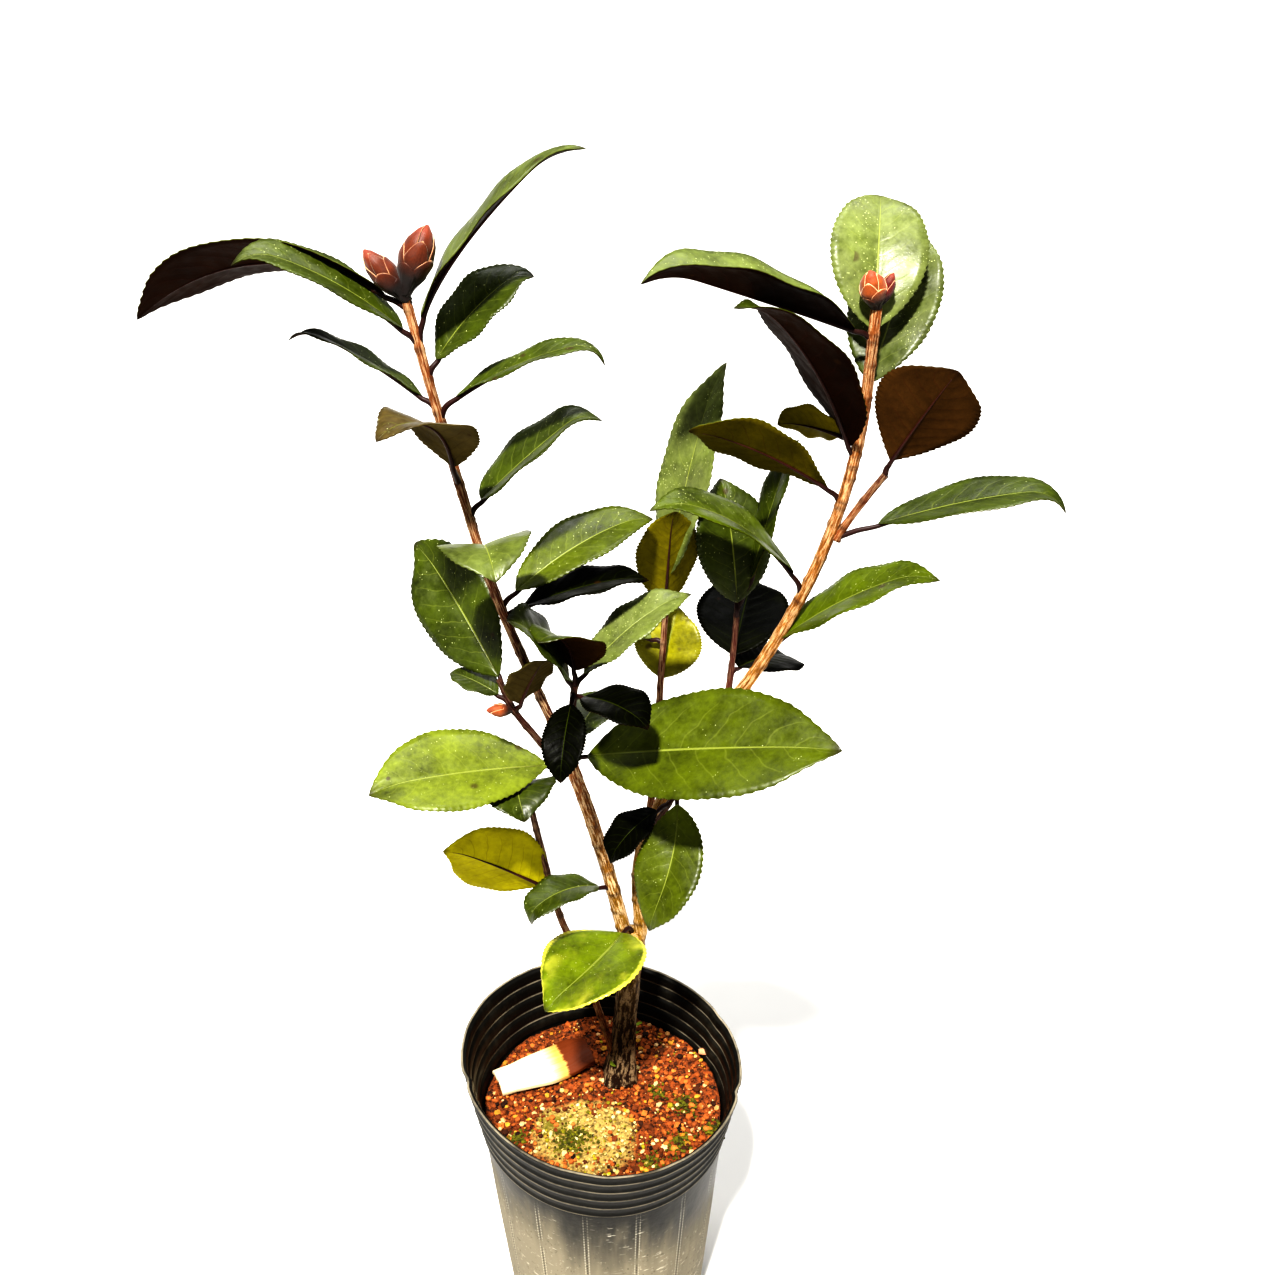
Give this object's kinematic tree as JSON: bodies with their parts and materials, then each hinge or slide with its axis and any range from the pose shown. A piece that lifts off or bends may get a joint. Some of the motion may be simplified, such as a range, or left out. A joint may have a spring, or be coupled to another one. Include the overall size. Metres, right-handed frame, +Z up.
{
  "type": "potted camellia shrub",
  "caption": "Young camellia shrub with two leaning leafy stems, brown-backed glossy leaves and fat buds, in a soft black ribbed-rim nursery pot.",
  "frame": {"origin": "centre of the pot's flat underside", "axes": "+Z up along the pot's axis, +X to the right and +Y away from a viewer who faces the plant as in the picture"},
  "size_m": [0.3104, 0.1295, 0.5056],
  "materials": {
    "pot": "soft black polythene, ribbed below the rim, dusty",
    "soil": "loose orange-brown soil crumbs with a pale mossy patch",
    "cut_wood": "pale split wood, brown at its inner end",
    "old_bark": "yellow-brown bark with moss",
    "bark": "light orange-brown bark with dark streaks",
    "leaves": "glossy green upper faces, olive to dark red-brown undersides"
  },
  "bodies": {
    "root": {"pot": "pot", "soil": "soil", "wood_strip": "cut_wood", "trunk": "old_bark", "left_stem": "bark", "left_shoot": "bark", "right_stem": "bark", "back_stem": "bark", "low_left_stem": "bark", "left_fork_foliage": "leaves", "left_mid_foliage": "leaves", "left_upper_foliage": "leaves", "left_top_foliage": "leaves", "left_twig_foliage": "leaves", "centre_foliage": "leaves", "low_left_foliage": "leaves", "right_low_foliage": "leaves", "right_mid_foliage": "leaves", "right_upper_foliage": "leaves", "right_top_foliage": "leaves", "back_foliage": "leaves", "right_back_foliage": "leaves", "front_leaf": "leaves", "low_leaf": "leaves"}
  },
  "joints": []
}
